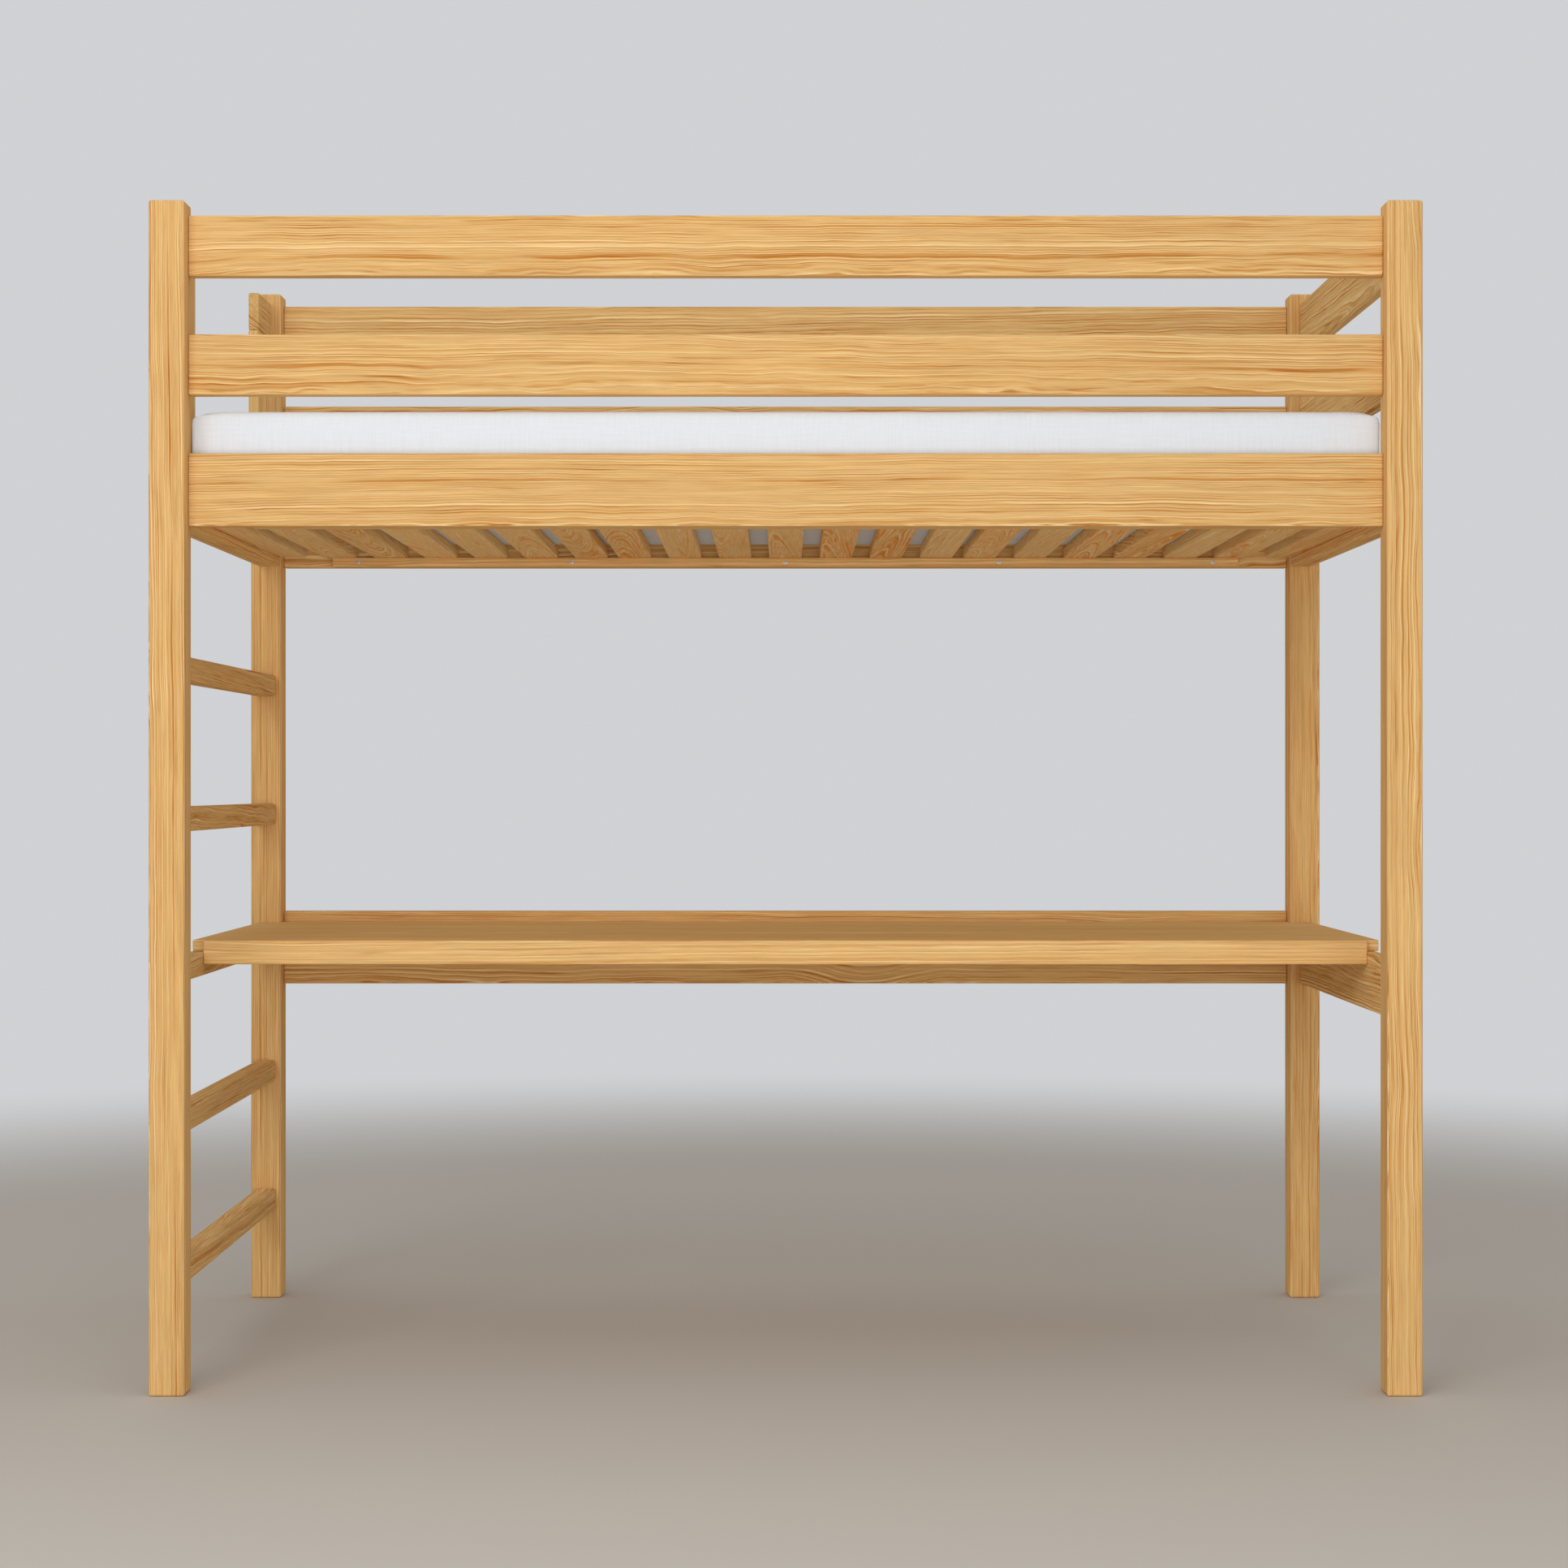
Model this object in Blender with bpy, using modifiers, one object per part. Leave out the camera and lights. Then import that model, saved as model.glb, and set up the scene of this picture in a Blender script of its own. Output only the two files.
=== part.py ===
"""Loft bed with a desk under it: a pine frame for a 2.00 x 0.90 m mattress, with a ladder at one end.

Metres, +Z up. The origin is on the floor, in the middle of the bed's footprint. +X runs along the bed,
away from the ladder end. -Y is the open long side, where a person sits at the desk, and +Y is the wall side.
"""

from collections import defaultdict
from math import pi

import bmesh
import bpy
from mathutils import Matrix, Vector

# ---------------------------------------------------------------- fits between pieces
GAP = 0.0003
SLAT_PLAY = 0.003

# ---------------------------------------------------------------- mattress, which sets the inside of the frame
MATTRESS_LENGTH = 2.020
MATTRESS_WIDTH = 0.880
MATTRESS_THICKNESS = 0.160
MATTRESS_END_PLAY = 0.011
MATTRESS_SIDE_PLAY = 0.004
MATTRESS_EDGE = 0.024

# ---------------------------------------------------------------- posts and long rails
POST_SIDE = 0.060
POST_ABOVE_GUARD = 0.020
POST_EDGE = 0.0045
RAIL_THICKNESS = 0.028
RAIL_EDGE = 0.0025
UNDER_BED_HEIGHT = 1.457
SIDE_RAIL_HEIGHT = 0.123
GUARD_RAIL_HEIGHT = 0.102
GUARD_RAIL_SPACE = 0.098

# ---------------------------------------------------------------- end frames and ladder
END_RAIL_THICKNESS = 0.028
END_GUARD_THICKNESS = 0.020
GRAB_RAIL_HEIGHT = 0.072
GRAB_RAIL_LENGTH = 0.136
GRAB_POST_WIDTH = 0.050
RUNG_HEIGHT = 0.042
RUNG_THICKNESS = 0.038
RUNG_EDGE = 0.004
RUNG_COUNT = 5
DESK_RUNG = 3
FIRST_RUNG_TOP = 0.2185
LAST_STEP_ABOVE_UNDERSIDE = 0.039

# ---------------------------------------------------------------- slats and the cleats under them
CLEAT_HEIGHT = 0.018
CLEAT_DEPTH = 0.030
CLEAT_SETBACK = 0.102
END_CLEAT_THICKNESS = 0.0147
CLEAT_EDGE = 0.0015
SLAT_WIDTH = 0.065
SLAT_THICKNESS = 0.022
SLAT_EDGE = 0.002
SLAT_END_PLAY = 0.001
PANEL_COUNT = 3
SLATS_PER_PANEL = 7
PANEL_SPACE = 0.0215

# ---------------------------------------------------------------- desk
DESK_HEIGHT = 0.748
DESKTOP_THICKNESS = 0.020
DESK_FRONT_SETBACK = 0.267
DESK_OVER_BEARER = 0.004
DESK_EDGE = 0.002
FRONT_EDGE_HEIGHT = 0.042
FRONT_EDGE_THICKNESS = 0.022
BEARER_THICKNESS = 0.020
BEARER_HEIGHT = 0.102
LADDER_BEARER_THICKNESS = 0.028
LADDER_BEARER_OUTSET = 0.005
DESK_RAIL_HEIGHT = 0.145
DESK_RAIL_ABOVE_TOP = 0.021

# ---------------------------------------------------------------- dowels and bolts
DOWEL_RADIUS = 0.004
DOWEL_LENGTH = 0.025
DOWEL_END_PLAY = 0.001
DOWEL_ROOT = 0.010
DOWEL_INSET = 0.010
BOLT_RADIUS = 0.003
BOLT_HEAD_RADIUS = 0.0065
BOLT_HEAD_HEIGHT = 0.005
BOLT_HEAD_DEPTH = 0.002
BOLT_SOCKET_RADIUS = 0.0025
BOLT_SOCKET_DEPTH = 0.003
BOLT_NUT_SETBACK = 0.030
BOLT_TIP = 0.009
BOLT_TIP_PLAY = 0.003
NUT_RADIUS = 0.005
NUT_LENGTH = 0.016
HEAD_PLAY = 0.0015
SOCKET_SIDES = 6
ROUND_SIDES = 12
DOWEL_SIDES = 8

# ---------------------------------------------------------------- planes of the frame, all from the values above
END_RAIL_INNER_X = MATTRESS_LENGTH / 2 + MATTRESS_END_PLAY
POST_MIDDLE_X = END_RAIL_INNER_X + END_RAIL_THICKNESS / 2
POST_INNER_X = POST_MIDDLE_X - POST_SIDE / 2
POST_OUTER_X = POST_MIDDLE_X + POST_SIDE / 2
DEPTH = POST_SIDE + MATTRESS_SIDE_PLAY + MATTRESS_WIDTH + MATTRESS_SIDE_PLAY + POST_SIDE
FRONT_Y = -DEPTH / 2
BACK_Y = DEPTH / 2
FRONT_POST_INNER_Y = FRONT_Y + POST_SIDE
BACK_POST_INNER_Y = BACK_Y - POST_SIDE
FRONT_RAIL_OUTER_Y = FRONT_POST_INNER_Y - RAIL_THICKNESS
BACK_RAIL_INNER_Y = BACK_Y - RAIL_THICKNESS

SIDE_RAIL_TOP = UNDER_BED_HEIGHT + SIDE_RAIL_HEIGHT
MIDDLE_GUARD_BOTTOM = SIDE_RAIL_TOP + GUARD_RAIL_SPACE
TOP_GUARD_BOTTOM = MIDDLE_GUARD_BOTTOM + GUARD_RAIL_HEIGHT + GUARD_RAIL_SPACE
TOP_GUARD_TOP = TOP_GUARD_BOTTOM + GUARD_RAIL_HEIGHT
POST_HEIGHT = TOP_GUARD_TOP + POST_ABOVE_GUARD
SLAT_BOTTOM = UNDER_BED_HEIGHT + CLEAT_HEIGHT
DECK_TOP = SLAT_BOTTOM + SLAT_THICKNESS
RUNG_PITCH = (UNDER_BED_HEIGHT + LAST_STEP_ABOVE_UNDERSIDE - FIRST_RUNG_TOP) / RUNG_COUNT

DESK_UNDERSIDE = DESK_HEIGHT - DESKTOP_THICKNESS
DESK_RAIL_BOTTOM = DESK_HEIGHT + DESK_RAIL_ABOVE_TOP - DESK_RAIL_HEIGHT
DESK_FRONT_Y = FRONT_Y + DESK_FRONT_SETBACK
BEARER_INNER_X = POST_MIDDLE_X - BEARER_THICKNESS / 2
BEARER_OUTER_X = POST_MIDDLE_X + BEARER_THICKNESS / 2
LADDER_BEARER_OUTER_X = POST_MIDDLE_X + LADDER_BEARER_THICKNESS / 2 + LADDER_BEARER_OUTSET
LADDER_BEARER_INNER_X = LADDER_BEARER_OUTER_X - LADDER_BEARER_THICKNESS

BOLT_SEAT_X = POST_OUTER_X - BOLT_HEAD_HEIGHT - BOLT_HEAD_DEPTH
NUT_X = POST_INNER_X - BOLT_NUT_SETBACK
BOLT_SHANK = BOLT_SEAT_X - NUT_X + BOLT_TIP

# ---------------------------------------------------------------- finishes: colour, roughness, metallic
PINE_POST = ((0.72, 0.43, 0.16), 0.42, 0.0)
PINE_RAIL = ((0.74, 0.45, 0.17), 0.42, 0.0)
PINE_END = ((0.68, 0.40, 0.15), 0.42, 0.0)
PINE_SLAT = ((0.66, 0.36, 0.15), 0.50, 0.0)
PINE_DESK = ((0.70, 0.41, 0.15), 0.36, 0.0)
MATTRESS_COVER = ((0.86, 0.87, 0.88), 0.85, 0.0)
ZINC_STEEL = ((0.55, 0.55, 0.56), 0.35, 1.0)

parts = bpy.data.collections.new("loft_bed_with_desk")
cutters = bpy.data.collections.new("cutters")
dowels = defaultdict(list)
holes = defaultdict(list)
cross_holes = defaultdict(list)


def clear_scene():
    for old in list(bpy.data.objects):
        bpy.data.objects.remove(old, do_unlink=True)


def finish(name, look):
    colour, roughness, metallic = look
    material = bpy.data.materials.new(name + "_finish")
    material.use_nodes = True
    shader = material.node_tree.nodes["Principled BSDF"]
    shader.inputs["Base Color"].default_value = (*colour, 1.0)
    shader.inputs["Roughness"].default_value = roughness
    shader.inputs["Metallic"].default_value = metallic
    return material


def add_object(name, bm, location, collection):
    mesh = bpy.data.meshes.new(name)
    bm.to_mesh(mesh)
    bm.free()
    made = bpy.data.objects.new(name, mesh)
    made.location = location
    collection.objects.link(made)
    return made


def add_helper(name, bm):
    """A cutter, or a shape that is joined to a piece. It is no piece by itself."""
    helper = add_object(name, bm, (0, 0, 0), cutters)
    helper.hide_render = True
    helper.display_type = "WIRE"
    return helper


def add_box(bm, low, high):
    low, high = Vector(low), Vector(high)
    size = high - low
    place = Matrix.Translation((low + high) / 2) @ Matrix.Diagonal((*size, 1.0))
    bmesh.ops.create_cube(bm, size=1.0, matrix=place)


def add_rod(bm, start, end, radius, sides):
    start, end = Vector(start), Vector(end)
    along = end - start
    turn = along.to_track_quat("Z", "Y").to_matrix().to_4x4()
    place = Matrix.Translation((start + end) / 2) @ turn
    bmesh.ops.create_cone(
        bm, cap_ends=True, segments=sides, radius1=radius, radius2=radius, depth=along.length, matrix=place
    )


def board(name, low, high, edge, look, segments=2):
    """A straight piece of timber between two corners, with its edges rounded over."""
    low, high = Vector(low), Vector(high)
    middle = (low + high) / 2
    bm = bmesh.new()
    add_box(bm, low - middle, high - middle)
    piece = add_object(name, bm, middle, parts)
    piece.data.materials.append(finish(name, look))
    rounding = piece.modifiers.new("rounded_edges", "BEVEL")
    rounding.width = edge
    rounding.segments = segments
    return piece


def boolean(piece, helper, operation, label):
    step = piece.modifiers.new(label, "BOOLEAN")
    step.operation = operation
    step.solver = "EXACT"
    step.object = helper


def dowel(member, host, point, direction):
    """A dowel glued into the member's end at the joint plane, and the blind hole in the host that takes it."""
    point, direction = Vector(point), Vector(direction)
    tip = point + direction * DOWEL_LENGTH
    dowels[member].append((point - direction * DOWEL_ROOT, tip, DOWEL_RADIUS, DOWEL_SIDES))
    bottom = tip + direction * DOWEL_END_PLAY
    holes[host].append((point - direction * DOWEL_ROOT, bottom, DOWEL_RADIUS + GAP, DOWEL_SIDES))


def end_member(name, side, bottom, height, inner_x, outer_x, edge, look):
    """A board across an end frame, dowelled into the posts at the front and at the back."""
    near, far = sorted((side * inner_x, side * outer_x))
    middle_x = (near + far) / 2
    low = (near, FRONT_POST_INNER_Y + GAP, bottom)
    high = (far, BACK_POST_INNER_Y - GAP, bottom + height)
    board(name, low, high, edge, look)
    for z in (bottom + DOWEL_INSET, bottom + height - DOWEL_INSET):
        dowel(name, post_name("front", side), (middle_x, FRONT_POST_INNER_Y, z), (0, -1, 0))
        dowel(name, post_name("back", side), (middle_x, BACK_POST_INNER_Y, z), (0, 1, 0))


def side_word(side):
    return "right" if side > 0 else "left"


def post_name(row, side):
    return f"post_{row}_{side_word(side)}"


def rail_span(row):
    """The two faces, in Y, of a long rail on the open side or on the wall side."""
    if row == "front":
        return FRONT_RAIL_OUTER_Y, FRONT_POST_INNER_Y
    return BACK_RAIL_INNER_Y, BACK_Y


def make_posts():
    for side in (-1, 1):
        near, far = sorted((side * POST_INNER_X, side * POST_OUTER_X))
        for row, front, back in (
            ("front", FRONT_Y, FRONT_POST_INNER_Y),
            ("back", BACK_POST_INNER_Y, BACK_Y),
        ):
            board(post_name(row, side), (near, front, 0), (far, back, POST_HEIGHT), POST_EDGE, PINE_POST, 3)


def make_long_rail(name, row, bottom, height):
    front, back = rail_span(row)
    reach = POST_INNER_X - GAP
    board(name, (-reach, front, bottom), (reach, back, bottom + height), RAIL_EDGE, PINE_RAIL)


def make_long_rails():
    for row in ("front", "back"):
        make_long_rail(f"{row}_side_rail", row, UNDER_BED_HEIGHT, SIDE_RAIL_HEIGHT)
        make_long_rail(f"{row}_middle_guard_rail", row, MIDDLE_GUARD_BOTTOM, GUARD_RAIL_HEIGHT)
        make_long_rail(f"{row}_top_guard_rail", row, TOP_GUARD_BOTTOM, GUARD_RAIL_HEIGHT)
    make_long_rail("back_desk_rail", "back", DESK_RAIL_BOTTOM, DESK_RAIL_HEIGHT)


def make_end_rails():
    for side in (-1, 1):
        end_member(
            f"{side_word(side)}_end_rail", side, UNDER_BED_HEIGHT, SIDE_RAIL_HEIGHT,
            END_RAIL_INNER_X, END_RAIL_INNER_X + END_RAIL_THICKNESS, RAIL_EDGE, PINE_END,
        )


def make_closed_end():
    """The end away from the ladder: two guard rails and the board that carries the desk."""
    inner = POST_MIDDLE_X - END_GUARD_THICKNESS / 2
    outer = POST_MIDDLE_X + END_GUARD_THICKNESS / 2
    for name, bottom in (
        ("right_middle_guard_rail", MIDDLE_GUARD_BOTTOM),
        ("right_top_guard_rail", TOP_GUARD_BOTTOM),
    ):
        end_member(name, 1, bottom, GUARD_RAIL_HEIGHT, inner, outer, RAIL_EDGE, PINE_END)
    end_member(
        "right_desk_bearer", 1, DESK_UNDERSIDE - GAP - BEARER_HEIGHT, BEARER_HEIGHT,
        BEARER_INNER_X, BEARER_OUTER_X, RAIL_EDGE, PINE_END,
    )


def make_ladder():
    """Rungs between the two posts of the ladder end. The desk rests on the third."""
    inner = POST_MIDDLE_X - RUNG_THICKNESS / 2
    outer = POST_MIDDLE_X + RUNG_THICKNESS / 2
    for number in range(1, RUNG_COUNT + 1):
        if number == DESK_RUNG:
            end_member(
                "ladder_rung_3_desk_bearer", -1, DESK_UNDERSIDE - GAP - RUNG_HEIGHT, RUNG_HEIGHT,
                LADDER_BEARER_INNER_X, LADDER_BEARER_OUTER_X, RUNG_EDGE, PINE_END,
            )
            continue
        top = FIRST_RUNG_TOP + (number - 1) * RUNG_PITCH
        end_member(
            f"ladder_rung_{number}", -1, top - RUNG_HEIGHT, RUNG_HEIGHT, inner, outer, RUNG_EDGE, PINE_END
        )


def make_grab_rails():
    """A short rail and an upright on each side of the way in, at the top of the ladder."""
    near = -(POST_MIDDLE_X + END_GUARD_THICKNESS / 2)
    far = -(POST_MIDDLE_X - END_GUARD_THICKNESS / 2)
    rail_bottom = TOP_GUARD_TOP - GRAB_RAIL_HEIGHT
    for row, post_y, inward in (("front", FRONT_POST_INNER_Y, 1), ("back", BACK_POST_INNER_Y, -1)):
        rail, upright = f"grab_rail_{row}", f"grab_post_{row}"
        free_y = post_y + inward * GRAB_RAIL_LENGTH
        low_y, high_y = sorted((post_y + inward * GAP, free_y))
        board(rail, (near, low_y, rail_bottom), (far, high_y, TOP_GUARD_TOP), RAIL_EDGE, PINE_END)
        for z in (rail_bottom + DOWEL_INSET, TOP_GUARD_TOP - DOWEL_INSET):
            dowel(rail, post_name(row, -1), (-POST_MIDDLE_X, post_y, z), (0, -inward, 0))
        low_y, high_y = sorted((free_y, free_y - inward * GRAB_POST_WIDTH))
        board(
            upright, (near, low_y, SIDE_RAIL_TOP + GAP), (far, high_y, rail_bottom - GAP), RAIL_EDGE, PINE_END
        )
        for y in (low_y + DOWEL_INSET, high_y - DOWEL_INSET):
            dowel(upright, rail, (-POST_MIDDLE_X, y, rail_bottom), (0, 0, 1))
            dowel(upright, "left_end_rail", (-POST_MIDDLE_X, y, SIDE_RAIL_TOP), (0, 0, -1))


def make_cleats():
    """Strips screwed to the inside of the rails, level with their lower edges, for the slats to lie on."""
    reach = POST_INNER_X - CLEAT_SETBACK
    for name, near, far in (
        ("slat_cleat_front", FRONT_POST_INNER_Y + GAP, FRONT_POST_INNER_Y + CLEAT_DEPTH),
        ("slat_cleat_back", BACK_RAIL_INNER_Y - CLEAT_DEPTH, BACK_RAIL_INNER_Y - GAP),
    ):
        board(name, (-reach, near, UNDER_BED_HEIGHT), (reach, far, SLAT_BOTTOM - GAP), CLEAT_EDGE, PINE_END, 1)
    for side in (-1, 1):
        inner, outer = END_RAIL_INNER_X - END_CLEAT_THICKNESS, END_RAIL_INNER_X - GAP
        near, far = sorted((side * inner, side * outer))
        low = (near, FRONT_POST_INNER_Y + SLAT_PLAY, UNDER_BED_HEIGHT)
        high = (far, BACK_POST_INNER_Y - SLAT_PLAY, SLAT_BOTTOM - GAP)
        board(f"slat_cleat_{side_word(side)}", low, high, CLEAT_EDGE, PINE_END, 1)


def make_slats():
    """Slatted panels side by side from one end rail to the other. Slats that pass a post stop short of it."""
    reach = END_RAIL_INNER_X - SLAT_END_PLAY
    panel_length = (2 * reach - (PANEL_COUNT - 1) * PANEL_SPACE) / PANEL_COUNT
    pitch = (panel_length - SLAT_WIDTH) / (SLATS_PER_PANEL - 1)
    panel_step = panel_length + PANEL_SPACE
    number = 0
    for panel in range(PANEL_COUNT):
        panel_middle = (panel - (PANEL_COUNT - 1) / 2) * panel_step
        for slat in range(SLATS_PER_PANEL):
            number += 1
            middle = panel_middle + (slat - (SLATS_PER_PANEL - 1) / 2) * pitch
            passes_post = abs(middle) + SLAT_WIDTH / 2 > POST_INNER_X - GAP
            back = BACK_POST_INNER_Y if passes_post else BACK_RAIL_INNER_Y
            low = (middle - SLAT_WIDTH / 2, FRONT_POST_INNER_Y + SLAT_PLAY, SLAT_BOTTOM)
            high = (middle + SLAT_WIDTH / 2, back - SLAT_PLAY, DECK_TOP)
            board(f"slat_{number:02d}", low, high, SLAT_EDGE, PINE_SLAT)


def make_mattress():
    reach = MATTRESS_LENGTH / 2
    low = (-reach, FRONT_POST_INNER_Y + MATTRESS_SIDE_PLAY, DECK_TOP + GAP)
    high = (reach, BACK_POST_INNER_Y - MATTRESS_SIDE_PLAY, DECK_TOP + GAP + MATTRESS_THICKNESS)
    board("mattress", low, high, MATTRESS_EDGE, MATTRESS_COVER, 3)


def make_desk():
    """A top that lies on the bearers and is notched round the back posts, with a deeper front edge under it."""
    panel_front = DESK_FRONT_Y + FRONT_EDGE_THICKNESS
    reach = BEARER_OUTER_X + DESK_OVER_BEARER
    low = (-reach, panel_front + GAP, DESK_UNDERSIDE)
    high = (reach, BACK_RAIL_INNER_Y - GAP, DESK_HEIGHT)
    top = board("desktop", low, high, DESK_EDGE, PINE_DESK)
    notches = bmesh.new()
    for side in (-1, 1):
        near, far = sorted((side * (POST_INNER_X - GAP), side * POST_OUTER_X))
        add_box(notches, (near, BACK_POST_INNER_Y - GAP, DESK_UNDERSIDE - 0.01), (far, BACK_Y, DESK_HEIGHT + 0.01))
    boolean(top, add_helper("desktop_notches", notches), "DIFFERENCE", "notched_round_posts")
    board(
        "desk_front_edge",
        (GAP - LADDER_BEARER_INNER_X, DESK_FRONT_Y, DESK_HEIGHT - FRONT_EDGE_HEIGHT),
        (BEARER_INNER_X - GAP, panel_front, DESK_HEIGHT),
        DESK_EDGE, PINE_DESK,
    )


def bolt_mesh():
    """A furniture bolt in its cross dowel. Its axis is +X, and the origin is under the head."""
    shank, head, nut, socket = (bmesh.new() for _ in range(4))
    add_rod(head, (0, 0, 0), (BOLT_HEAD_HEIGHT, 0, 0), BOLT_HEAD_RADIUS, ROUND_SIDES)
    add_rod(shank, (-BOLT_SHANK, 0, 0), (BOLT_HEAD_HEIGHT / 2, 0, 0), BOLT_RADIUS, ROUND_SIDES)
    nut_x = BOLT_TIP - BOLT_SHANK
    add_rod(nut, (nut_x, -NUT_LENGTH / 2, 0), (nut_x, NUT_LENGTH / 2, 0), NUT_RADIUS, ROUND_SIDES)
    floor_x = BOLT_HEAD_HEIGHT - BOLT_SOCKET_DEPTH
    add_rod(socket, (floor_x, 0, 0), (2 * BOLT_HEAD_HEIGHT, 0, 0), BOLT_SOCKET_RADIUS, SOCKET_SIDES)
    pattern = add_helper("bolt_pattern", head)
    boolean(pattern, add_helper("bolt_shank", shank), "UNION", "shank")
    boolean(pattern, add_helper("bolt_nut", nut), "UNION", "cross_dowel")
    boolean(pattern, add_helper("bolt_socket", socket), "DIFFERENCE", "socket")
    graph = bpy.context.evaluated_depsgraph_get()
    mesh = bpy.data.meshes.new_from_object(pattern.evaluated_get(graph))
    mesh.name = "furniture_bolt"
    return mesh


def drill_for_bolt(rail, row, side, z):
    """The bolt's hole through the post and into the rail's end, and the hole for its cross dowel in the rear face."""
    y = sum(rail_span(row)) / 2
    post = post_name(row, side)
    tip = (side * (BOLT_SEAT_X - BOLT_SHANK - BOLT_TIP_PLAY), y, z)
    seat = (side * (BOLT_SEAT_X - GAP), y, z)
    outside = (side * (POST_OUTER_X + BOLT_HEAD_HEIGHT), y, z)
    holes[post].append((seat, outside, BOLT_HEAD_RADIUS + HEAD_PLAY, ROUND_SIDES))
    cross_holes[post].append((tip, outside, BOLT_RADIUS + GAP, ROUND_SIDES))
    holes[rail].append((tip, outside, BOLT_RADIUS + GAP, ROUND_SIDES))
    mouth = (side * NUT_X, rail_span(row)[1] + NUT_LENGTH, z)
    bottom = (side * NUT_X, y - NUT_LENGTH / 2 - GAP, z)
    cross_holes[rail].append((mouth, bottom, NUT_RADIUS + GAP, ROUND_SIDES))


def make_bolts():
    """Every long rail is drilled for bolts, and the three rails that carry the load have theirs in place."""
    mesh = bolt_mesh()
    for rail, row, bottom, height, carries_load in (
        ("front_side_rail", "front", UNDER_BED_HEIGHT, SIDE_RAIL_HEIGHT, True),
        ("back_side_rail", "back", UNDER_BED_HEIGHT, SIDE_RAIL_HEIGHT, True),
        ("back_desk_rail", "back", DESK_RAIL_BOTTOM, DESK_RAIL_HEIGHT, True),
        ("front_middle_guard_rail", "front", MIDDLE_GUARD_BOTTOM, GUARD_RAIL_HEIGHT, False),
        ("back_middle_guard_rail", "back", MIDDLE_GUARD_BOTTOM, GUARD_RAIL_HEIGHT, False),
        ("front_top_guard_rail", "front", TOP_GUARD_BOTTOM, GUARD_RAIL_HEIGHT, False),
        ("back_top_guard_rail", "back", TOP_GUARD_BOTTOM, GUARD_RAIL_HEIGHT, False),
    ):
        z = bottom + height / 2
        for side in (-1, 1):
            drill_for_bolt(rail, row, side, z)
            if not carries_load:
                continue
            bolt = bpy.data.objects.new(f"{rail}_bolt_{side_word(side)}", mesh.copy())
            bolt.location = (side * BOLT_SEAT_X, sum(rail_span(row)) / 2, z)
            bolt.rotation_euler.z = 0 if side > 0 else pi
            bolt.data.materials.append(finish(bolt.name, ZINC_STEEL))
            parts.objects.link(bolt)


def join_dowels_and_drill():
    """Dowels are glued into their members, and every hole is drilled after its piece is shaped."""
    for rods_of, operation, label in (
        (dowels, "UNION", "glued_dowels"),
        (holes, "DIFFERENCE", "holes"),
        (cross_holes, "DIFFERENCE", "cross_holes"),
    ):
        for name, rods in rods_of.items():
            bm = bmesh.new()
            for start, end, radius, sides in rods:
                add_rod(bm, start, end, radius, sides)
            boolean(bpy.data.objects[name], add_helper(f"{name}_{label}", bm), operation, label)


def main():
    clear_scene()
    bpy.context.scene.collection.children.link(parts)
    bpy.context.scene.collection.children.link(cutters)
    cutters.hide_render = True
    make_posts()
    make_long_rails()
    make_end_rails()
    make_closed_end()
    make_ladder()
    make_grab_rails()
    make_cleats()
    make_slats()
    make_mattress()
    make_desk()
    make_bolts()
    join_dowels_and_drill()
    for piece in parts.objects:
        piece.data.shade_smooth()
        piece.data.set_sharp_from_angle(angle=pi / 6)


main()
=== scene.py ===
"""Looks of the loft bed with desk: matt pine boards, a foam mattress in a woven cover, and steel fasteners.

Metres, +Z up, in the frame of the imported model. The frame's nodes keep their shape and get their wood here.
The mattress and the bolts are finer pieces that stand for their nodes, and the small screws are extra pieces.
"""

import bmesh
import bpy
import numpy as np
from math import cos, pi, radians, sin
from mathutils import Matrix, Vector
from random import Random
from typing import NamedTuple


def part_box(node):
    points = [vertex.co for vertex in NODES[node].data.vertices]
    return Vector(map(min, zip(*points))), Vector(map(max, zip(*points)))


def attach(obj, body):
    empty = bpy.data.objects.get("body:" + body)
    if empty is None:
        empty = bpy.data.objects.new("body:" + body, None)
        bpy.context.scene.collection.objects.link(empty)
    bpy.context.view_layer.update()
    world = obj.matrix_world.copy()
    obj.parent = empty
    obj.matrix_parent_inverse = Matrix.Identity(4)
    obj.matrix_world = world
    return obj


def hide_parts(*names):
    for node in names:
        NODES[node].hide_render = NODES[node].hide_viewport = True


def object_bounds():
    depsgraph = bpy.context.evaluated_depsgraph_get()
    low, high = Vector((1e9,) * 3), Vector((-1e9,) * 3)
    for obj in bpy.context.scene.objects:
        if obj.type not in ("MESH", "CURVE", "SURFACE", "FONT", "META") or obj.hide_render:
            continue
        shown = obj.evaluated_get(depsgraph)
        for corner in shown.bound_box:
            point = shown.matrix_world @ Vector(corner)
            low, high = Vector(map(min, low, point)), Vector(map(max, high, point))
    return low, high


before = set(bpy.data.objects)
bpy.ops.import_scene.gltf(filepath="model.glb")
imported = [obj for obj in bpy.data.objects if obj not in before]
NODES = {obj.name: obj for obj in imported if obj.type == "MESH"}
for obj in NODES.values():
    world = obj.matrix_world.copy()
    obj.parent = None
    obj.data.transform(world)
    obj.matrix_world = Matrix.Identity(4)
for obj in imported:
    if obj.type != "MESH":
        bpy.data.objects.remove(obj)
cad_box = [list(corner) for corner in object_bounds()]

# ---------------------------------------------------------------- camera: metres, and millimetres for the lens
CAMERA_LENS = 67.62
CAMERA_SENSOR = 36.0
CAMERA_BACK = 4.92
CAMERA_HEIGHT = 1.0237
CAMERA_SIDE = -0.0028

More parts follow.
